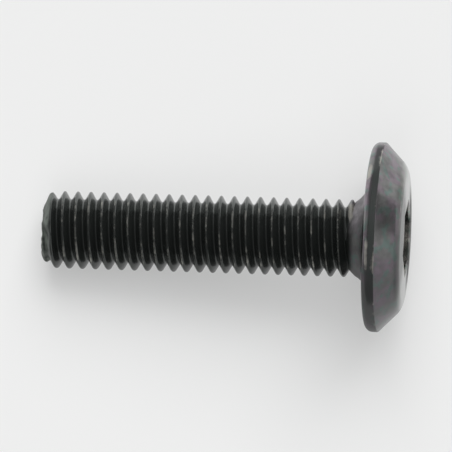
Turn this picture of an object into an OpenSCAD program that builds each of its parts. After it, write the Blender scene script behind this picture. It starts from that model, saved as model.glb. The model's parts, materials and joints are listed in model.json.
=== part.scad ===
// Hex socket machine screw with a low, wide, chamfered head, lying as it comes to rest on a flat surface.
// It is drawn upright on its own axis, with the underside of the head at zero and the tip below,
// and is then laid down on its rim and its first full turn of thread.

/* [Thread] */
// Outer diameter of the thread
thread_d = 5.9; // [5.4:0.05:6.6]
// Distance from one turn to the next
pitch = 1; // [0.75:0.05:1.25]
// Depth from crest to root
thread_depth = 0.61; // [0.45:0.01:0.68]
// Width of the flat along the crest
crest_w = 0.14; // [0.06:0.01:0.2]
// Width of the flat along the root
root_w = 0.15; // [0.06:0.01:0.2]
// Distance from the head at which the thread dies out
thread_gap = 1.2; // [1:0.05:3]
// Share of a turn over which the thread dies out
runout = 0.35; // [0.2:0.05:0.6]
// Direction in which the thread dies out, about the axis
runout_turn = 166; // [0:1:359]
// Straight steps in one turn
turn_steps = 30; // [24:2:36]

/* [Shank] */
// Length under the head
length = 24.9; // [12:0.1:40]
// Diameter of the flat end
tip_d = 4.1; // [3:0.1:4.6]
// Slope of the chamfer at the tip, from the axis
tip_angle = 45; // [30:1:60]
// Height of the smooth neck above the thread's root
neck_step = 0.18; // [0.1:0.01:0.35]
// Radius of the fillet between neck and head
neck_fillet = 2.2; // [0.8:0.1:3]

/* [Head] */
// Diameter across the rim
head_d = 14.4; // [12:0.1:18]
// Height from the underside to the top of the dome
head_h = 2.8; // [2.4:0.1:4]
// Height of the rim, from the underside to its sharp corner
rim_h = 0.95; // [0.6:0.05:1.2]
// Rounding of the rim's lower edge
rim_round = 0.55; // [0.2:0.05:0.58]
// Slope of the chamfered flank, from the axis
flank_angle = 46; // [35:1:55]
// Radius of the domed face
dome_r = 45; // [20:1:120]
// Rounding between the flank and the face
edge_round = 1.6; // [0.3:0.1:2.5]

/* [Socket] */
// Width across the flats of the hexagon
hex_af = 5; // [3:0.5:6]
// Depth of the flats, from the mouth
hex_depth = 2; // [1.2:0.1:2.4]
// Turn of the hexagon about the axis
hex_turn = 26; // [0:1:59]
// Width of the broken edge round the mouth
mouth_edge = 0.1; // [0.02:0.01:0.3]
// Slope of that broken edge, from the axis
mouth_angle = 45; // [30:1:65]
// Width of the conical bottom, short of the flats by this much
point_gap = 0.2; // [0.1:0.05:1]
// Slope of the conical bottom, from the axis
point_angle = 65; // [55:1:80]

/* [Hidden] */
$fn = 64;

// Radii of the shank
thread_r = thread_d / 2;
root_r = thread_r - thread_depth;
neck_r = root_r + neck_step;
tip_r = tip_d / 2;

// The neck reaches past the last root of the thread, and a cone leads down from it into that root
neck_len = thread_gap + pitch / 2;
fillet_end = 180 - asin(max(0, neck_fillet - neck_len) / neck_fillet);
neck_end_r = neck_r + neck_fillet * (1 + cos(fillet_end));
neck_core_r = root_r - neck_step;
neck_core_z = -neck_len - (neck_end_r - neck_core_r);

// The rounding between flank and face touches the flank's line and the dome's circle
head_r = head_d / 2;
rim_corner = [head_r, rim_h];
dome_c = [0, head_h - dome_r];
flank_out = [cos(flank_angle), sin(flank_angle)];
flank_up = [-sin(flank_angle), cos(flank_angle)];
edge_start = rim_corner - edge_round * flank_out;
edge_lag = (edge_start - dome_c) * flank_up;
edge_rest = pow(dome_r - edge_round, 2) - pow((edge_start - dome_c) * flank_out, 2);
edge_c = edge_start + (sqrt(edge_rest) - edge_lag) * flank_up;
edge_angle = atan2(edge_c[1] - dome_c[1], edge_c[0]);

// Radii and heights of the socket, whose corners lie further out than its flats by the first value
corner_share = 2 / sqrt(3);
hex_corner_r = hex_af / 2 * corner_share;
mouth_r = hex_af / 2 + mouth_edge;
mouth_z = dome_c[1] + sqrt(pow(dome_r, 2) - pow(mouth_r, 2));
flats_z = mouth_z - hex_depth;
point_r = hex_af / 2 - point_gap;

// Points along an arc about a centre, from one direction to another
arc_steps = 8;
function arc(centre, radius, from, to, first = 0) = [
    for (i = [first : arc_steps])
        let (turn = from + (to - from) * i / arc_steps)
            centre + radius * [cos(turn), sin(turn)]
];

// Half section of the neck and the head, from the core of the shank to the top of the dome
head_section = concat(
    [[0, neck_core_z], [neck_core_r, neck_core_z]],
    neck_len > neck_fillet ? [[neck_r, -neck_len]] : [],
    arc([neck_r + neck_fillet, -neck_fillet], neck_fillet, fillet_end, 90),
    arc([head_r - rim_round, rim_round], rim_round, -90, 0),
    [rim_corner],
    arc(edge_c, edge_round, flank_angle, edge_angle),
    arc(dome_c, dome_r, edge_angle, 90, 1)
);

// Half section of the space that the chamfered tip leaves to the thread
tip_reach = thread_r;
tip_section = [
    [0, -length],
    [tip_r, -length],
    [tip_r + tip_reach, tip_reach / tan(tip_angle) - length],
    [tip_r + tip_reach, 0],
    [0, 0]
];

// One turn of thread in section, from root to root: height from the crest's middle, and share of the depth
thread_section = [
    [(root_w - pitch) / 2, 0],
    [-crest_w / 2, 1],
    [crest_w / 2, 1],
    [(pitch - root_w) / 2, 0]
];
section_points = len(thread_section);

// Steps of the thread, counted from where it dies out to well past the tip
thread_steps = ceil((length - thread_gap + 2 * pitch) / pitch * turn_steps);
function step_turn(k) = runout_turn - 360 * k / turn_steps;
function step_z(k) = -thread_gap - pitch * k / turn_steps;
function step_depth(k) = thread_depth * min(1, k / turn_steps / runout);
function thread_point(k, p) =
    let (radius = root_r + step_depth(k) * p[1])
        [radius * cos(step_turn(k)), radius * sin(step_turn(k)), step_z(k) + p[0]];

// Numbers of the thread's points: point j of step k, and the two triangles of a patch between two rows
function at(k, j) = k * section_points + j;
function patch(a, b, c, d) = [[a, b, c], [a, c, d]];
function fan(tip, loop) = [
    for (i = [0 : len(loop) - 1])
        [tip, loop[i], loop[(i + 1) % len(loop)]]
];

// The rolled thread: a strip of sections wound round the axis, each turn sharing its root with the next
module rolled_thread() {
    last = section_points - 1;
    top_z = step_z(turn_steps / 2);
    bottom_z = step_z(thread_steps - turn_steps / 2);
    points = concat(
        [for (k = [0 : thread_steps]) for (p = thread_section) thread_point(k, p)],
        [[0, 0, top_z], [0, 0, bottom_z]]
    );
    top_tip = len(points) - 2;
    top_loop = concat([for (j = [0 : last - 1]) at(0, j)], [for (k = [0 : turn_steps]) at(k, last)]);
    bottom_loop = concat(
        [for (k = [thread_steps : -1 : thread_steps - turn_steps]) at(k, 0)],
        [for (j = [last : -1 : 1]) at(thread_steps, j)]
    );
    faces = concat(
        [for (k = [0 : thread_steps - 1]) for (j = [0 : last - 1])
            each patch(at(k, j), at(k + 1, j), at(k + 1, j + 1), at(k, j + 1))],
        [for (k = [turn_steps : thread_steps - 1])
            each patch(at(k, last), at(k + 1, last), at(k + 1 - turn_steps, 0), at(k - turn_steps, 0))],
        fan(top_tip, top_loop),
        fan(top_tip + 1, bottom_loop)
    );
    intersection() {
        polyhedron(points, faces);
        rotate_extrude() polygon(tip_section);
    }
}

// The hexagonal socket as a tool: flats, broken edge of the mouth and conical bottom
module socket() {
    point_h = point_r / tan(point_angle);
    mouth_h = mouth_r / tan(mouth_angle);
    translate([0, 0, flats_z]) rotate(hex_turn) cylinder(r = hex_corner_r, h = head_h, $fn = 6);
    translate([0, 0, flats_z - point_h]) cylinder(r1 = 0, r2 = point_r, h = point_h);
    translate([0, 0, mouth_z - mouth_h]) rotate(hex_turn)
        cylinder(r1 = 0, r2 = 2 * mouth_r * corner_share, h = 2 * mouth_h, $fn = 6);
}

// The screw lies on its rim's rounding and on the crest of its first full turn
tip_h = (thread_r - tip_r) / tan(tip_angle);
crest_z = -thread_gap - pitch * runout_turn / 360;
crest_low_z = crest_z - pitch * floor((crest_z + length - tip_h - crest_w / 2) / pitch) - crest_w / 2;
rest_from = [crest_low_z, thread_r];
rest_to = [rim_round, head_r - rim_round] - rest_from;
lie = atan2(rest_to[1], rest_to[0]) + asin(rim_round / norm(rest_to));
lift = thread_r * cos(lie) - crest_low_z * sin(lie);
front_x = max([for (p = head_section) p[1] * cos(lie) + p[0] * sin(lie)]);
back_x = -length * cos(lie) - tip_r * sin(lie);

module screw() {
    color([0.16, 0.16, 0.17])
        translate([-(front_x + back_x) / 2, 0, lift]) rotate([0, 90 - lie, 0])
            difference() {
                union() {
                    rotate_extrude() polygon(head_section);
                    rolled_thread();
                }
                socket();
            }
}

screw();
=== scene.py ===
# %% [markdown]
# # A hex socket machine screw
# The real screw is one piece of steel. Its head was pressed and its socket punched cold, its thread was
# rolled between two dies, and a hot bath then blackened it all over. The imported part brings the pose, lying
# on the rim of the head and on the thread. The script gives the screw a finer form, its finish and its light.
# The sizes repeat those of the part's source, apart from a few that follow this one screw more closely.

# %% Load the part
import json
import math

import bmesh
import bpy
from mathutils import Matrix, Vector, noise


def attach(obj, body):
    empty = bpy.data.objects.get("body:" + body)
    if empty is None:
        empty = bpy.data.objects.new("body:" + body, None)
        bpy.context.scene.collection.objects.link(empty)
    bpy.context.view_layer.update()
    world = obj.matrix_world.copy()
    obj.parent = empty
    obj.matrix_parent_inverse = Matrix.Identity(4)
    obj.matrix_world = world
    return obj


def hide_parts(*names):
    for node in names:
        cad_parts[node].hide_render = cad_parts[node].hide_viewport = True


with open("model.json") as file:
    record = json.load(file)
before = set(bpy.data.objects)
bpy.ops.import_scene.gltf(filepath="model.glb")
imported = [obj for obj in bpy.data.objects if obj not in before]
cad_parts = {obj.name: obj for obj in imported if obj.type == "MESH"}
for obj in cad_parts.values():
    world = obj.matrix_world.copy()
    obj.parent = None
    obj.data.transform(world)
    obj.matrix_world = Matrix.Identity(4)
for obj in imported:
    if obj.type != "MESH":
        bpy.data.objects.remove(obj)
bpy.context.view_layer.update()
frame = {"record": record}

# %% [markdown]
# ## The screw's own axes
# It is easiest to draw a screw upright, in millimetres, with the underside of its head at height zero and
# its tip below. The part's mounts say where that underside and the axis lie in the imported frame, so one
# matrix made from them lays the finished mesh down. The object itself is never turned or moved.

# %% Lay the screw's axes out
MM = 0.001
mounts = {mount["name"]: mount for mount in frame["record"]["mounts"]}
axis = Vector(mounts["hex_socket"]["axis"]).normalized()
side = Vector((0, 1, 0))
across = side.cross(axis)
seat = Vector(mounts["bearing_face"]["pos_m"])
seat.y = 0
screw_turn = Matrix((across, side, axis)).transposed().to_4x4()
screw_to_part = Matrix.Translation(seat) @ screw_turn @ Matrix.Scale(MM, 4)
print("axis rises by", round(math.degrees(math.asin(axis.z)), 2), "degrees")

# %% [markdown]
# ## Camera
# The photograph looks almost straight down from about half a metre, through a long lens, with the frame
# turned a little less than two degrees against the screw. The camera is built from the point that it looks
# at, its lean from the vertical and that turn.

# %% Set the camera
IMAGE_PX, FOCAL_PX, SENSOR_MM = 452, 6114, 36
CAMERA_AWAY, LEAN, ROLL = 470 * MM, math.radians(3.4), math.radians(1.721)
AIM_BEHIND_SEAT, AIM_ASIDE = 10.53 * MM, 0.656 * MM
aim = Vector((seat.x - AIM_BEHIND_SEAT, AIM_ASIDE, 0))
back = Vector((-math.sin(LEAN), 0, math.cos(LEAN)))
right = Matrix.Rotation(ROLL, 3, back) @ Vector((math.cos(LEAN), 0, math.sin(LEAN)))
camera_data = bpy.data.cameras.new("camera")
camera_data.sensor_width = SENSOR_MM
camera_data.lens = SENSOR_MM * FOCAL_PX / IMAGE_PX
camera_data.clip_start = 10 * MM
camera = bpy.data.objects.new("camera", camera_data)
camera.matrix_world = Matrix.Translation(aim + CAMERA_AWAY * back) @ Matrix(
    (right, back.cross(right), back)).transposed().to_4x4()
bpy.context.scene.collection.objects.link(camera)
bpy.context.scene.camera = camera
print("lens, mm:", round(camera_data.lens, 1))

# %% [markdown]
# ## Sums on node sockets
# Node trees hold a lot of arithmetic. A small class wraps an output socket, so that an ordinary Python
# expression adds the Math nodes it needs, and one method adds any other node. It serves the Geometry Nodes
# tree of the thread and the shaders alike.

# %% A socket that can be counted with
class Wire:
    def __init__(self, tree, socket=None):
        self.tree, self.socket = tree, socket

    def node(self, kind, settings=(), links=(), out=0):
        made = self.tree.nodes.new(kind)
        for name, value in dict(settings).items():
            setattr(made, name, value)
        for key, value in dict(links).items():
            if isinstance(value, Wire):
                self.tree.links.new(value.socket, made.inputs[key])
            else:
                made.inputs[key].default_value = value
        return Wire(self.tree, made.outputs[out] if made.outputs else None)

    def math(self, operation, *values):
        return self.node("ShaderNodeMath", {"operation": operation}, dict(enumerate((self, *values))))

    def vector(self, operation, *values, out=0):
        return self.node("ShaderNodeVectorMath", {"operation": operation},
                         dict(enumerate((self, *values))), out)

    def dot(self, direction):
        return self.vector("DOT_PRODUCT", direction, out=1)

    def __add__(self, other):
        return self.math("ADD", other)

    def __sub__(self, other):
        return self.math("SUBTRACT", other)

    def __mul__(self, other):
        return self.math("MULTIPLY", other)

    def __truediv__(self, other):
        return self.math("DIVIDE", other)

    def __rsub__(self, other):
        return self.math("MULTIPLY_ADD", -1, other)

    __radd__, __rmul__ = __add__, __mul__


# %% [markdown]
# ## The rolled thread
# Rolling dies press the root of the thread in and raise its crest, so crest and root are round and the turns
# run on until they fade out near the head. A spiral could be made by a Screw modifier, but that can't fade
# out. The shape follows a rule, so Geometry Nodes make it: a flat grid, whose length is counted in turns
# and whose width is one pitch, is rolled up round the axis. A point's place across the strip says how high
# it stands above the root. A cone narrows the last turn to the tip. Each turn's edge meets the next turn's
# edge, and the two are merged.

# %% The rule of the thread
PITCH, CREST_R, ROOT_R, CREST_FLAT, ROOT_FLAT = 1.0, 2.95, 2.34, 0.14, 0.15
THREAD_GAP, RUNOUT_TURNS, RUNOUT_ANGLE = 1.15, 0.22, math.radians(184)
TURNS, TURN_STEPS, SECTION_STEPS = 26, 90, 20
LENGTH, TIP_R, LEAST_R = 24.96, 2.25, 0.5
MERGE_REACH = 0.003
THREAD_SIZES = {
    "Pitch": PITCH, "Crest Radius": CREST_R, "Root Radius": ROOT_R,
    "Crest Flat": CREST_FLAT, "Root Flat": ROOT_FLAT, "Crest Rounding": 0.22, "Root Rounding": 0.3,
    "Gap": THREAD_GAP, "Run-out": RUNOUT_TURNS, "Start": RUNOUT_ANGLE, "Turns": float(TURNS),
    "Tip Radius": TIP_R, "Tip Height": -LENGTH, "Tip Rounding": 0.7,
    "Rows": TURNS * TURN_STEPS + 1, "Columns": SECTION_STEPS + 1,
}


def thread_tree(finish):
    tree = bpy.data.node_groups.new("rolled_thread", "GeometryNodeTree")
    for name, value in THREAD_SIZES.items():
        kind = "NodeSocketInt" if isinstance(value, int) else "NodeSocketFloat"
        tree.interface.new_socket(name, in_out="INPUT", socket_type=kind)
    tree.interface.new_socket("Geometry", in_out="OUTPUT", socket_type="NodeSocketGeometry")
    given = tree.nodes.new("NodeGroupInput")
    size = {socket.name: Wire(tree, socket) for socket in given.outputs if socket.name}
    start = Wire(tree)
    strip = start.node("GeometryNodeMeshGrid", {}, {
        "Size X": size["Turns"], "Size Y": 1.0, "Vertices X": size["Rows"], "Vertices Y": size["Columns"]})
    place = start.node("GeometryNodeInputPosition")
    turn = place.dot((1, 0, 0)) + size["Turns"] / 2
    share = place.dot((0, 1, 0))
    rise = (size["Pitch"] - size["Root Flat"]) / 2 - share.math("ABSOLUTE") * size["Pitch"]
    rise = rise / ((size["Pitch"] - size["Root Flat"] - size["Crest Flat"]) / 2)
    rise = rise.math("SMOOTH_MAX", 0.0, size["Root Rounding"])
    rise = rise.math("SMOOTH_MIN", 1.0, size["Crest Rounding"])
    rise = rise * (turn / size["Run-out"]).math("MINIMUM", 1.0)
    radius = size["Root Radius"] + (size["Crest Radius"] - size["Root Radius"]) * rise
    angle = size["Start"] - turn * math.tau
    height = (share - turn) * size["Pitch"] - size["Gap"]
    tip_cone = size["Tip Radius"] + height - size["Tip Height"]
    radius = radius.math("SMOOTH_MIN", tip_cone, size["Tip Rounding"])
    radius = radius.math("MAXIMUM", LEAST_R)
    rolled = start.node("ShaderNodeCombineXYZ", {}, {
        0: radius * angle.math("COSINE"), 1: radius * angle.math("SINE"), 2: height})
    thread = start.node("GeometryNodeSetPosition", {}, {"Geometry": strip, "Position": rolled})
    thread = start.node("GeometryNodeMergeByDistance", {}, {"Geometry": thread, "Distance": MERGE_REACH})
    thread = start.node("GeometryNodeRealizeInstances", {}, {"Geometry": thread})
    thread = start.node("GeometryNodeSetMaterial", {}, {"Geometry": thread, "Material": finish})
    tree.links.new(thread.socket, tree.nodes.new("NodeGroupOutput").inputs[0])
    return tree


# %% [markdown]
# The tree goes on an empty object as a modifier. Its sizes are set before it runs for the first time, and
# its result is then kept as a plain mesh, which can be cut and joined.

# %% Roll the thread
def mesh_object(name, mesh):
    made = bpy.data.objects.new(name, mesh)
    bpy.context.scene.collection.objects.link(made)
    return made


def settle(obj):
    """The object's modifiers become a plain mesh."""
    bpy.context.view_layer.update()
    shown = obj.evaluated_get(bpy.context.evaluated_depsgraph_get())
    mesh = bpy.data.meshes.new_from_object(shown)
    obj.modifiers.clear()
    obj.data = mesh


black_oxide = bpy.data.materials.new("black_oxide")
thread = mesh_object("thread", bpy.data.meshes.new("thread"))
tree = thread_tree(black_oxide)
roll = thread.modifiers.new("roll", "NODES")
roll.node_group = tree
for item in tree.interface.items_tree:
    if item.in_out == "INPUT":
        roll[item.identifier] = THREAD_SIZES[item.name]
settle(thread)
print("thread:", len(thread.data.vertices), "points,", len(thread.data.polygons), "faces")

# %% [markdown]
# The strip is open at both ends. Each open end is closed with a fan of triangles to a point on the axis:
# one end goes into the head and the other is cut off at the tip, so neither shows.

# %% Close the ends of the thread
def close_ends(obj):
    work = bmesh.new()
    work.from_mesh(obj.data)
    middle = sum((v.co.z for v in work.verts)) / len(work.verts)
    for upper in (True, False):
        rim = [e for e in work.edges if e.is_boundary and (e.verts[0].co.z > middle) == upper]
        height = sum(e.verts[0].co.z for e in rim) / len(rim)
        tip = work.verts.new((0, 0, height))
        for edge in rim:
            loop = edge.link_loops[0]
            work.faces.new((loop.link_loop_next.vert, loop.vert, tip))
    bmesh.ops.recalc_face_normals(work, faces=work.faces)
    open_edges = sum(not e.is_manifold for e in work.edges)
    work.to_mesh(obj.data)
    work.free()
    return open_edges


print("open edges of the thread:", close_ends(thread))

# %% [markdown]
# ## Head, neck and socket
# Neck and head are round, and the socket is a hexagon with a broken edge at its mouth and a conical bottom.
# Cutting a hexagon out of a turned head would leave long thin faces and hard edges. Instead the head is one
# grid: every column is the section at its own angle, from the core of the neck up over the rim and the dome
# and down into the socket. Only the socket's points change with the angle. Corners are softened a little, as
# pressed steel has them, and these small roundings catch the light as thin bright lines.

# %% The head's section
NECK_R, NECK_FILLET, NECK_LENGTH, CORE_R = 2.52, 2.2, 1.05, 2.16
HEAD_R, HEAD_H, RIM_H, RIM_ROUND, FLANK = 7.2, 2.85, 0.95, 0.55, math.radians(46)
DOME_R, EDGE_ROUND = 100.0, 1.6
HEX_FLAT_R, HEX_DEPTH, HEX_TURN = 2.5, 2.0, math.radians(26)
MOUTH_EDGE, MOUTH_ANGLE, POINT_R, POINT_ANGLE = 0.1, math.radians(45), 2.3, math.radians(65)
RIM_SOFT, MOUTH_SOFT, FOOT_SOFT = 0.07, 0.05, 0.08
SIXTH = math.tau / 6


def arc(centre, radius, start, end, steps):
    turns = [start + (end - start) * i / steps for i in range(steps + 1)]
    return [Vector((centre[0] + radius * math.cos(t), centre[1] + radius * math.sin(t))) for t in turns]


def soften(before, corner, after, reach, steps=4):
    """The corner as a short curve that starts and ends at most reach away from it."""
    start = corner + (before - corner) * min(0.4, reach / (before - corner).length)
    end = corner + (after - corner) * min(0.4, reach / (after - corner).length)
    shares = [i / steps for i in range(steps + 1)]
    return [start * (1 - s) ** 2 + corner * 2 * s * (1 - s) + end * s * s for s in shares]


dome_centre = (0, HEAD_H - DOME_R)
flank_out = Vector((math.cos(FLANK), math.sin(FLANK)))
flank_up = Vector((-flank_out.y, flank_out.x))
edge_line = Vector((HEAD_R, RIM_H)) - EDGE_ROUND * flank_out - Vector(dome_centre)
edge_reach = math.sqrt((DOME_R - EDGE_ROUND) ** 2 - edge_line.dot(flank_out) ** 2)
edge_centre = edge_line.dot(flank_out) * flank_out + edge_reach * flank_up + Vector(dome_centre)
edge_angle = math.atan2(edge_centre.y - dome_centre[1], edge_centre.x)
flats_z = dome_centre[1] + math.sqrt(DOME_R ** 2 - (HEX_FLAT_R + MOUTH_EDGE) ** 2) - HEX_DEPTH
fillet_end = math.pi - math.asin((NECK_FILLET - NECK_LENGTH) / NECK_FILLET)


def outside():
    """From the core of the neck to the edge of the dome, the same all round."""
    fillet = arc((NECK_R + NECK_FILLET, -NECK_FILLET), NECK_FILLET, fillet_end, math.pi / 2, 16)
    rim = arc((HEAD_R - RIM_ROUND, RIM_ROUND), RIM_ROUND, -math.pi / 2, 0, 10)
    edge = arc(edge_centre, EDGE_ROUND, FLANK, edge_angle, 12)
    core = Vector((CORE_R, fillet[0].y - (fillet[0].x - CORE_R)))
    corner = soften(rim[-1], Vector((HEAD_R, RIM_H)), edge[0], RIM_SOFT)
    bearing = [fillet[-1].lerp(rim[0], i / 4) for i in range(1, 4)]
    slope = [corner[-1].lerp(edge[0], i / 6) for i in range(1, 6)]
    return [Vector((0, core.y)), core, *fillet, *bearing, *rim, *corner, *slope, *edge]


def inside(angle):
    """From the dome down to the point of the socket, at one angle round the axis."""
    off_flat = (angle - HEX_TURN) % SIXTH - SIXTH / 2
    hex_r = HEX_FLAT_R / math.cos(off_flat)
    mouth_r = (HEX_FLAT_R + MOUTH_EDGE) / math.cos(off_flat)
    dome = arc(dome_centre, DOME_R, edge_angle, math.acos(mouth_r / DOME_R), 10)
    mouth = dome[-1]
    flat_top = Vector((hex_r, mouth.y - MOUTH_EDGE / math.tan(MOUTH_ANGLE)))
    flat_end = Vector((hex_r, flats_z))
    ledge = Vector((POINT_R, flats_z))
    point = Vector((0, flats_z - POINT_R / math.tan(POINT_ANGLE)))
    lip = soften(dome[-2], mouth, flat_top, MOUTH_SOFT)
    brow = soften(mouth, flat_top, flat_end, MOUTH_SOFT)
    foot = soften(flat_top, flat_end, ledge, FOOT_SOFT)
    drop = [brow[-1].lerp(foot[0], i / 5) for i in range(1, 5)]
    cone = [ledge.lerp(point, i / 4) for i in range(5)]
    return [*dome[1:-1], *lip, *brow, *drop, *foot, *cone]


# %% [markdown]
# The columns stand close enough for the hexagon's corners to fall on one of them each. The first and the
# last point of every section lie on the axis and are shared by all columns.

# %% Build the head
COLUMNS = 6 * 24


def revolve(name, section_at):
    """A closed mesh from the section at each angle. A section starts and ends on the axis."""
    work = bmesh.new()
    ends, columns = None, []
    for i in range(COLUMNS):
        angle = HEX_TURN + math.tau * i / COLUMNS
        section = section_at(angle)
        ends = ends or [work.verts.new((0, 0, p.y)) for p in (section[0], section[-1])]
        ring = [work.verts.new((p.x * math.cos(angle), p.x * math.sin(angle), p.y)) for p in section[1:-1]]
        columns.append([ends[0], *ring, ends[1]])
    for near, far in zip(columns, columns[1:] + columns[:1]):
        for j in range(len(near) - 1):
            corners = (near[j], far[j], far[j + 1], near[j + 1])
            work.faces.new(dict.fromkeys(corners))
    bmesh.ops.recalc_face_normals(work, faces=work.faces)
    mesh = bpy.data.meshes.new(name)
    work.to_mesh(mesh)
    work.free()
    return mesh_object(name, mesh)


head_outside = outside()
head = revolve("head", lambda angle: head_outside + inside(angle))
print("head:", len(head.data.polygons), "faces")

# %% [markdown]
# ## One piece of steel
# The wire was sheared off before the thread was rolled, so this screw's end is a little slanted. A blunt
# blank with a slanted end trims the thread, and head and thread are then joined to one closed skin, with no
# face left inside. Boolean modifiers do both, while the meshes are still in millimetres.

# %% Trim the tip and join
BLANK_R, END_SLANT, END_ANGLE = 4.0, math.tan(math.radians(3)), math.radians(135)


def blank(angle):
    """What is kept of the thread: all above a slightly slanted end."""
    end_z = BLANK_R * END_SLANT * math.cos(angle - END_ANGLE) - LENGTH
    return [Vector((0, -LENGTH)), Vector((BLANK_R, end_z)), Vector((BLANK_R, 0)), Vector((0, 0))]


def combine(obj, tool, operation):
    step = obj.modifiers.new("combine", "BOOLEAN")
    step.operation, step.object, step.solver = operation, tool, "EXACT"
    settle(obj)
    bpy.data.objects.remove(tool)


combine(thread, revolve("blank", blank), "INTERSECT")
combine(head, thread, "UNION")
screw = head
screw.name = "steel_screw"
print("screw:", len(screw.data.polygons), "faces")

# %% [markdown]
# ## Wear, painted glints and painted shade
# Crests, the rim's sharp corner, the rounded edge of the dome and the mouth of the socket have rubbed
# against other screws and a key, and the film is thin there; these marks are also painted highlights and
# glints, put mostly on the side that faces up, where the steel catches the light. On the rim the film is
# darker and matt instead, and the face round the socket is painted matt black as painted shade, where it
# mirrors the shadowed paper under the head. Noise alone would put such marks anywhere, so each point of
# the mesh carries two shares as attributes, worn and matt, worked out from its place while the mesh is still
# upright. An arc is given by its middle, its reach to either side and its soft edge, in degrees round the
# axis.

# %% Where the film is worn, and where glints are painted
# Painted highlights as well as wear: these arcs and bands put bare steel where crests, rim corner, rim, dome
# edge and socket mouth catch the light.
CREST_ARC, RUNOUT_ARC, EDGE_ARC = (0, 75, 35), (42, 34, 10), (34, 36, 16)
CORNER_ARCS, CORNER_REST = ((58, 14, 8, 1), (-14, 13, 8, 0.85)), 0.25
RIM_RUBS_AND_HIGHLIGHTS = ((43, 10, 0.24, 0.22), (-10, 14, 0.4, 0.2))
RUNOUT_BAND, EDGE_BAND, CORNER_BAND = (-1.35, 0.35, 0.1), (5.2, 0.13, 0.06), (RIM_H, 0.1, 0.05)
CREST_WEAR_AND_GLINT, RUNOUT_WEAR_AND_GLINT, CORNER_WEAR_AND_GLINT, EDGE_HIGHLIGHT, RUB_AND_HIGHLIGHT = 0.5, 0.8, 0.95, 0.5, 0.8
MOUTH_WEAR_AND_GLINT, FAR_LIP_LESS, MOUTH_RING = 0.66, 0.3, 0.5
LIP_TURN, LIP_RISE, MOUTH_RISE = (80, 110), (2.6, 2.7), (1.6, 2.2)


def ramp(value, low, high):
    """From nothing at the low value to one at the high one, with a soft start and end."""
    share = min(1, max(0, (value - low) / (high - low)))
    return share * share * (3 - 2 * share)


def hill(value, middle, reach, soft):
    """One round the middle, and nothing from reach on either side of it."""
    return ramp(reach - abs(value - middle), 0, soft)


def from_upper_side(point):
    """The point's distance from the axis, and its degrees from the upper side towards +Y."""
    return math.hypot(point.x, point.y), math.degrees(math.atan2(point.y, -point.x))


def thread_wear_and_glints(radius, turn, z):
    crest = ramp(radius, CREST_R - 0.03, CREST_R) * hill(turn, *CREST_ARC)
    last_turn = hill(z, *RUNOUT_BAND) * hill(turn, *RUNOUT_ARC) * ramp(radius, ROOT_R + 0.1, ROOT_R + 0.25)
    return max(CREST_WEAR_AND_GLINT * crest, RUNOUT_WEAR_AND_GLINT * last_turn)


def socket_wear_and_glints(turn, z):
    far_lip = ramp(abs(turn), *LIP_TURN) * ramp(z, *LIP_RISE)
    return (MOUTH_WEAR_AND_GLINT - FAR_LIP_LESS * far_lip) * ramp(z, *MOUTH_RISE)


def head_wear_and_highlights(radius, turn, z):
    corner = ramp(radius, HEAD_R - 0.06, HEAD_R - 0.01) * hill(z, *CORNER_BAND)
    corner *= max(CORNER_REST, *(share * hill(turn, *arc_of) for *arc_of, share in CORNER_ARCS))
    rub = max(hill(turn, middle, reach, 0.6 * reach) * hill(z, rise, tall, 0.6 * tall)
              for middle, reach, rise, tall in RIM_RUBS_AND_HIGHLIGHTS)
    edge = hill(radius, *EDGE_BAND) * ramp(z, 2, 2.1) * hill(turn, *EDGE_ARC)
    return max(CORNER_WEAR_AND_GLINT * corner, EDGE_HIGHLIGHT * edge, RUB_AND_HIGHLIGHT * rub * ramp(radius, 6.5, 6.6))


def worn(point):
    """How far the film has rubbed off, which also paints highlights and glints where the steel shines."""
    radius, turn = from_upper_side(point)
    if point.z < -NECK_LENGTH:
        return thread_wear_and_glints(radius, turn, point.z)
    if radius < HEX_FLAT_R + MOUTH_RING and point.z > 0:
        return socket_wear_and_glints(turn, point.z)
    return head_wear_and_highlights(radius, turn, point.z)


# %% Where the film is matt, and where shade is painted
# Painted shade: the face near the mouth and beyond the socket is made matt black where it mirrors the
# shadowed paper; the rim arcs are only made darker.
RIM_UPPER_ARC, RIM_LOWER_ARC, FACE_NEAR_ARC = (24, 56, 14), (-50, 45, 15), (0, 66, 30)
RIM_LOWER_MATT, FACE_NEAR_SHADE, FACE_FAR_SHADE = 0.6, 0.55, 1.1


def matt_and_shade_at(point):
    """How far the film is matt and black: darker on most of the rim, and painted shade on the face round the
    socket.
    """
    radius, turn = from_upper_side(point)
    upper = ramp(point.z, 0.35, 0.6) * ramp(radius, HEAD_R - 0.2, HEAD_R - 0.05)
    upper *= hill(turn, *RIM_UPPER_ARC)
    lower = RIM_LOWER_MATT * ramp(radius, HEAD_R - 0.5, HEAD_R - 0.2) * hill(turn, *RIM_LOWER_ARC)
    rim = ramp(1.0 - point.z, 0, 0.06) * max(upper, lower)
    face = ramp(point.z, 2.2, 2.5) * ramp(radius, HEX_FLAT_R, HEX_FLAT_R + 0.3)
    near = FACE_NEAR_SHADE * hill(turn, *FACE_NEAR_ARC)
    far = FACE_FAR_SHADE * ramp(abs(turn), 95, 135) * ramp(4.9 - radius, 0, 1.2)
    return max(rim, face * near, face * far)


# %% [markdown]
# ## A raw end and a crooked head
# The end of the wire was left raw: its edge is rounded and lumpy, with a shallow lap where the first turn
# starts. The head sits one degree out of square and a little off centre. Sculpting could do both, but moving
# the points by a rule keeps them exact and the mesh closed. Normals are read before any point moves.

# %% Work the end and bend the neck
END_ROUND, END_LUMP, LAP_DEPTH, LAP_ARC = 0.4, 0.14, 0.13, (-11, 12, 11)
HEAD_LEAN, HEAD_SHIFT = math.radians(1.0), 0.17


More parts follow.
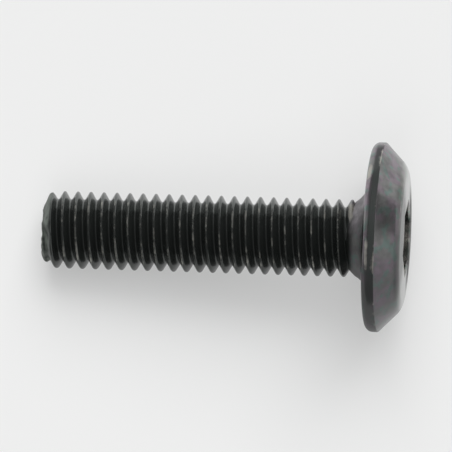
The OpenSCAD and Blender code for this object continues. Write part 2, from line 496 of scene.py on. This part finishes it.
def rough_end(point):
    """How far the raw end of the wire stands out of its true form."""
    radius, turn = from_upper_side(point)
    lumps = noise.noise(point * 1.1) + 0.3 * noise.noise(point * 2.7)
    lap = hill(turn, *LAP_ARC) * ramp(radius, 1.2, 1.7)
    return ramp(1.0 - LENGTH - point.z, 0, 0.6) * (END_LUMP * lumps - LAP_DEPTH * lap)


def round_end(point):
    """The point after the sharp edge of the cut has been rounded off."""
    radius, turn = math.hypot(point.x, point.y), math.atan2(point.y, point.x)
    above = point.z + LENGTH - radius * END_SLANT * math.cos(turn - END_ANGLE)
    if radius < 1 or above > END_ROUND:
        return point
    inward = END_ROUND - math.sqrt(END_ROUND ** 2 - (END_ROUND - max(0, above)) ** 2)
    shrink = (radius - inward) / radius
    return Vector((point.x * shrink, point.y * shrink, point.z))


# Two shares per point: wear that also paints glints, and matt black that also paints shade.
wear_and_glints = screw.data.attributes.new("wear_and_glints", "FLOAT", "POINT")
matt_and_shade = screw.data.attributes.new("matt_and_shade", "FLOAT", "POINT")
normals = [vertex.normal.copy() for vertex in screw.data.vertices]
for vertex, normal in zip(screw.data.vertices, normals):
    wear_and_glints.data[vertex.index].value = worn(vertex.co)
    matt_and_shade.data[vertex.index].value = matt_and_shade_at(vertex.co)
    vertex.co = round_end(vertex.co) + normal * rough_end(vertex.co)
    head_share = ramp(vertex.co.z, -NECK_LENGTH, 0)
    vertex.co = Matrix.Rotation(HEAD_LEAN * head_share, 3, "X") @ vertex.co
    vertex.co.y += HEAD_SHIFT * head_share
print("worn points:", sum(item.value > 0.5 for item in wear_and_glints.data))

# %% [markdown]
# The upright mesh in millimetres is now laid down in the part's frame. Points that the joining left on top
# of each other are merged, and only real corners stay sharp.

# %% Lay it down
DOUBLES_REACH, SHARP_ANGLE = 0.0005 * MM, math.radians(32)
screw.data.transform(screw_to_part)
work = bmesh.new()
work.from_mesh(screw.data)
bmesh.ops.remove_doubles(work, verts=work.verts, dist=DOUBLES_REACH)
print("open edges of the screw:", sum(not e.is_manifold for e in work.edges),
      "volume, mm3:", round(work.calc_volume() / MM ** 3, 1))
work.to_mesh(screw.data)
work.free()
screw.data.shade_smooth()
screw.data.set_sharp_from_angle(angle=SHARP_ANGLE)
screw.data.materials.clear()
screw.data.materials.append(black_oxide)

# %% [markdown]
# ## The blackened finish
# A hot oxide bath leaves a thin dark film on the steel, which still mirrors like a dull metal. Where the
# film is a little thicker or thinner, it shines purple or green. A painted image could show that, but noise
# on the screw's own coordinates has no seams. The finish is a dark metal whose colour and roughness wander
# with noise, and whose colour is painted lighter on the lit +Y side and darker on the shaded side. The two
# attributes of the mesh say where bare steel comes through, which also paints glints, and where the film is
# matt and black, with a darker rim and painted shade on the face.

# %% Helpers for the finish
black_oxide.use_nodes = True
shader_tree = black_oxide.node_tree
shader_tree.nodes.clear()
ink = Wire(shader_tree)
spot = ink.node("ShaderNodeTexCoord", out=3)


def clouds(scale_mm, detail=3.0, roughness=0.5, shift=0.0):
    return ink.node("ShaderNodeTexNoise", {}, {
        "Vector": spot.vector("ADD", (shift * MM,) * 3), "Scale": 1 / (scale_mm * MM),
        "Detail": detail, "Roughness": roughness})


def between(value, low, high):
    return value.node("ShaderNodeMapRange", {"interpolation_type": "SMOOTHSTEP"},
                      {0: value, 1: low, 2: high, 3: 0.0, 4: 1.0})


def blend(share, first, second):
    return share.node("ShaderNodeMix", {"data_type": "RGBA"}, {0: share, 6: first, 7: second}, 2)


def painted(name):
    return ink.node("ShaderNodeAttribute", {"attribute_name": name}, out=2)


# %% [markdown]
# The finish differs from place to place: thread, neck, head, face and tip. Each place is a share between
# nothing and one, found from the distance along the axis and away from it.

# %% Find the places
from_seat = spot.vector("SUBTRACT", tuple(seat))
along = from_seat.dot(tuple(axis))
on_axis = ink.node("ShaderNodeVectorMath", {"operation": "SCALE"}, {0: tuple(axis), 3: along})
from_axis = from_seat.vector("DISTANCE", on_axis, out=1)
sideways = spot.dot((0, 1, 0))
# The worn share, which also places painted glints and highlights.
steel_and_glints = painted("wear_and_glints")
steel_and_glints = between(steel_and_glints, 0.0, 0.15) * between(steel_and_glints + clouds(0.7, shift=29) * 1.5, 1.0, 1.7)
on_head = between(along, -1.6 * MM, -1.2 * MM)
on_neck = on_head * between(from_axis, 6.2 * MM, 4.5 * MM) * between(along, 0.4 * MM, -0.2 * MM)
on_face = between(along, 2.35 * MM, 2.6 * MM)
at_tip = between(along, (0.9 - LENGTH) * MM, (0.5 - LENGTH) * MM)
# Painted light: a share that runs from the shaded -Y side to the lit +Y side, used to paint the film lighter
# where the light comes from.
lit_side_share = between(sideways, -4 * MM, 4 * MM)

# %% Mix the film's colour, with painted light and shade
# Painted light and shade: film and thread colours come in lit and shaded copies, the neck colour is a painted
# highlight, and bare steel also paints glints.
PLAIN, SHADED_SIDE_FILM, LIT_SIDE_FILM = (1, 1, 1, 1), (0.14, 0.139, 0.14, 1), (0.315, 0.312, 0.31, 1)
THREAD_SHADED_SIDE, THREAD_LIT_SIDE = (0.39, 0.42, 0.4, 1), (0.6, 0.63, 0.62, 1)
PURPLE, GREEN, FACE_TINT = (1.12, 0.95, 1.1, 1), (0.82, 1.08, 1.02, 1), (0.83, 0.88, 0.82, 1)
NECK_PAINTED_HIGHLIGHT, CLOUD_DARK, STEEL_AND_GLINT = (0.47, 0.445, 0.47, 1), (0.1, 0.1, 0.1, 1), (0.46, 0.45, 0.41, 1)
TIP_DARK, TIP_LIGHT = (0.05, 0.056, 0.051, 1), (0.25, 0.285, 0.25, 1)
tint = blend(between(clouds(1.5, shift=3), 0.42, 0.58), PLAIN, PURPLE)
tint = blend(between(clouds(0.7, shift=17), 0.52, 0.62), tint, GREEN)
# Painted light and shade: thread and head film are lighter on the lit +Y side and darker on the shaded -Y
# side.
tint = blend(on_head, blend(lit_side_share, THREAD_SHADED_SIDE, THREAD_LIT_SIDE), tint)
film = blend(lit_side_share, SHADED_SIDE_FILM, LIT_SIDE_FILM).vector("MULTIPLY", tint)
# Painted highlight: the neck's film is painted lighter towards its lit +Y side.
film = blend(on_neck * between(sideways, -0.6 * MM, 2.2 * MM), film, NECK_PAINTED_HIGHLIGHT)
# The raw end is mottled with noise, and painted lighter towards the lit +Y side as painted light.
tip_mottle_and_lit_side = between(clouds(0.6, shift=41) + lit_side_share * 0.2, 0.4, 0.8)
film = blend(at_tip * 0.7, film, blend(tip_mottle_and_lit_side, TIP_DARK, TIP_LIGHT))
film = film.vector("MULTIPLY", blend(on_face, PLAIN, FACE_TINT))
dark_clouds = between(clouds(0.8, detail=4.0, roughness=0.6, shift=53), 0.35, 0.7)
film = blend(on_head * dark_clouds * 0.5, film, CLOUD_DARK)
# Bare steel where the film is worn, which also paints glints and highlights.
film = blend(steel_and_glints, film, STEEL_AND_GLINT)

# %% Put the finish together
MATT_BLACK, MATT_BLACK_SHARE, MATT_SHARE, FACE_LESS_MATT_BLACK = (0.039, 0.044, 0.042, 1), 0.2, 0.7, 0.18
ROUGH, ROUGH_CLOUDS, NECK_ROUGH, TIP_ROUGH, STEEL_ROUGH, FACE_POLISH = 0.17, 0.08, 0.33, 0.25, 0.2, 0.12
STEEL_DULL = 0.2
roughness = ROUGH + clouds(0.8, detail=4.0, shift=5) * ROUGH_CLOUDS + on_neck * NECK_ROUGH
roughness = roughness + at_tip * TIP_ROUGH + steel_and_glints * STEEL_ROUGH - on_face * FACE_POLISH
grain = ink.node("ShaderNodeBump", {}, {
    "Strength": 0.25, "Distance": 0.004 * MM, "Height": clouds(0.12, detail=4.0)})
metal = ink.node("ShaderNodeBsdfPrincipled", {}, {
    "Base Color": film, "Metallic": 1 - steel_and_glints * STEEL_DULL, "Roughness": roughness, "Normal": grain})
matt_black = ink.node("ShaderNodeBsdfDiffuse", {}, {"Color": MATT_BLACK})
# Matt black share: a darker rim and painted shade on the face, and none where the steel is bare.
dullness = (painted("matt_and_shade") * MATT_SHARE + MATT_BLACK_SHARE - on_face * FACE_LESS_MATT_BLACK) * (1 - steel_and_glints)
skin = ink.node("ShaderNodeMixShader", {}, {0: dullness, 1: metal, 2: matt_black})
ink.node("ShaderNodeOutputMaterial", {}, {"Surface": skin})
print("finish:", len(shader_tree.nodes), "nodes")

# %% [markdown]
# ## Floor
# The screw lies on plain white paper, and its shadow is a faint halo. The paper is one flat square. To the
# camera, and in the steel's reflections, a part of its white is its own, so that it stays pale without more
# light on the screw, and it still keeps the shadow.

# %% Spread the paper
PAPER_HALF, PAPER_GLOW = 3.0, 0.4
PAPER_WHITE, PALE = (0.88, 0.882, 0.88, 1), (0.84, 0.845, 0.842, 1)
paper_mesh = bpy.data.meshes.new("paper")
paper_mesh.from_pydata([(-PAPER_HALF, -PAPER_HALF, 0), (PAPER_HALF, -PAPER_HALF, 0),
                        (PAPER_HALF, PAPER_HALF, 0), (-PAPER_HALF, PAPER_HALF, 0)], [], [(0, 1, 2, 3)])
paper = mesh_object("paper", paper_mesh)
white_paper = bpy.data.materials.new("white_paper")
white_paper.use_nodes = True
white_paper.node_tree.nodes.clear()
sheet = Wire(white_paper.node_tree)
lit = sheet.node("ShaderNodeBsdfDiffuse", {}, {"Color": PAPER_WHITE})
own_white = sheet.node("ShaderNodeEmission", {}, {"Color": PALE, "Strength": 1.0})
camera_ray, glossy_ray = [
    sheet.node("ShaderNodeLightPath", out=name) for name in ("Is Camera Ray", "Is Glossy Ray")]
pale = sheet.node("ShaderNodeMixShader", {}, {
    0: camera_ray.math("MAXIMUM", glossy_ray) * PAPER_GLOW, 1: lit, 2: own_white})
sheet.node("ShaderNodeOutputMaterial", {}, {"Surface": pale})
paper_mesh.materials.append(white_paper)

# %% [markdown]
# ## Surroundings
# What the steel mirrors is a tent: grey all round, brighter beyond the head and beyond the tip, darker
# overhead where the camera looks in, and with one dark gap beside the head that the flank mirrors. Only
# reflections see the tent. The camera sees the paper's white, and matt surfaces get an even grey.

# %% Hang the tent
TENT, HEAD_END, TIP_END, GAP_DEPTH, OVERHEAD = 0.2, 0.65, 0.3, 0.65, 0.5
EVEN_GREY = (0.22, 0.22, 0.22, 1)
world = bpy.data.worlds.new("tent")
bpy.context.scene.world = world
world.use_nodes = True
world.node_tree.nodes.clear()
tent = Wire(world.node_tree)
toward = tent.node("ShaderNodeTexCoord", out=0)


def patch(azimuth, elevation, inner, outer):
    """One near the middle of a round patch of the tent and nothing outside it, in degrees."""
    a, e = math.radians(azimuth), math.radians(elevation)
    middle = (math.cos(a) * math.cos(e), math.sin(a) * math.cos(e), math.sin(e))
    return between(toward.dot(middle), math.cos(math.radians(outer)), math.cos(math.radians(inner)))


level = TENT + between(toward.dot((1, 0, 0)), 0.45, 0.9) * HEAD_END
level = level + between(toward.dot((-1, 0, 0)), 0.45, 0.9) * TIP_END
level = level - patch(16, 8, 8, 20) * GAP_DEPTH
level = level * (1 - between(toward.dot((0, 0, 1)), 0.55, 0.85) * OVERHEAD)
mirrored = tent.node("ShaderNodeCombineXYZ", {}, {0: level, 1: level, 2: level})
shown = blend(tent.node("ShaderNodeLightPath", out="Is Glossy Ray"), EVEN_GREY, mirrored)
shown = blend(tent.node("ShaderNodeLightPath", out="Is Camera Ray"), shown, PALE)
sky = tent.node("ShaderNodeBackground", {}, {"Color": shown, "Strength": 1.0})
tent.node("ShaderNodeOutputWorld", {}, {"Surface": sky})
bpy.context.scene.view_settings.view_transform = "Standard"
print("tent:", len(world.node_tree.nodes), "nodes")

# %% [markdown]
# ## Lamps
# Three wide, soft lamps stand for the studio's light. The strongest comes slantwise from the far side, so
# the shadow falls towards the near side. They light the paper and the matt black share of the film, and are
# kept out of the reflections, where their discs would show.

# %% Hang the lamps
def soft_sun(name, comes_from, spread, strength):
    data = bpy.data.lights.new(name, "SUN")
    data.angle, data.energy = math.radians(spread), strength
    made = bpy.data.objects.new(name, data)
    made.matrix_world = Vector(comes_from).to_track_quat("Z", "Y").to_matrix().to_4x4()
    made.visible_glossy = False
    bpy.context.scene.collection.objects.link(made)


soft_sun("high_lamp", (-0.05, 0.4, 1), 46, 0.85)
soft_sun("far_lamp", (0.05, 0.95, 1), 46, 1.75)
soft_sun("near_lamp", (-0.1, -0.5, 1), 40, 0.4)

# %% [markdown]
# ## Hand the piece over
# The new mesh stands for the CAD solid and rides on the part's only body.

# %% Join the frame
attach(screw, "root")
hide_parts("screw")
